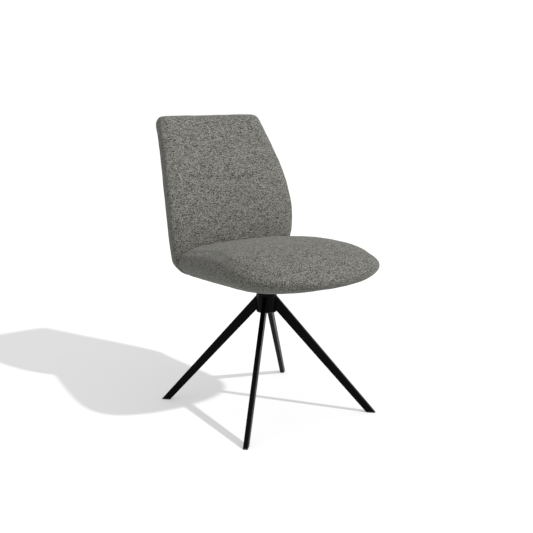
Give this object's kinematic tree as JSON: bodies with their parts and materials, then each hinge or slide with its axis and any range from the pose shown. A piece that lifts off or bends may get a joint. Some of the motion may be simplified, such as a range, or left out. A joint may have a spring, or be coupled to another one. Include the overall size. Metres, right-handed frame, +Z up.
{
  "type": "swivel dining chair",
  "caption": "Armless upholstered dining chair in grey melange fabric; the shell turns on a short column with splayed black steel legs.",
  "frame": {"origin": "on the floor, straight below the swivel axis", "axes": "+Z up, the sitter looks along -Y, the sitter's left hand is on +X"},
  "size_m": [0.4784, 0.6808, 0.8719],
  "materials": {
    "black_steel": "black powder coat, fine and satin",
    "bare_steel": "zinc plated",
    "black_plastic": "moulded, matt",
    "plywood": "bare beech plywood",
    "grey_fabric": "coarse woven melange in light and dark grey",
    "black_cloth": "thin non-woven cloth"
  },
  "bodies": {
    "base": {"leg_front_left": "black_steel", "leg_rear_left": "black_steel", "leg_rear_right": "black_steel", "leg_front_right": "black_steel", "foot_glide_front_left": "black_plastic", "foot_glide_rear_left": "black_plastic", "foot_glide_rear_right": "black_plastic", "foot_glide_front_right": "black_plastic", "column_tube": "black_steel", "column_cap": "black_plastic", "lower_bush": "black_plastic", "upper_bush": "black_plastic", "lower_race": "bare_steel", "bearing_balls": "bare_steel", "ball_cage": "black_plastic"},
    "seat": {"upper_race": "bare_steel", "spindle": "black_steel", "retaining_washer": "bare_steel", "circlip": "bare_steel", "mounting_plate": "black_steel", "plate_washers": "bare_steel", "plate_bolts": "bare_steel", "tee_nuts": "bare_steel", "dust_cover": "black_cloth", "seat_board": "plywood", "back_board": "plywood", "back_brackets": "black_steel", "bracket_screws": "bare_steel", "seat_cushion": "grey_fabric", "back_cushion": "grey_fabric"}
  },
  "joints": [
    {"name": "seat_swivel", "type": "hinge", "parent": "base", "child": "seat", "pos_m": [0, 0, 0.365], "axis": [0, 0, 1], "continuous": true}
  ]
}
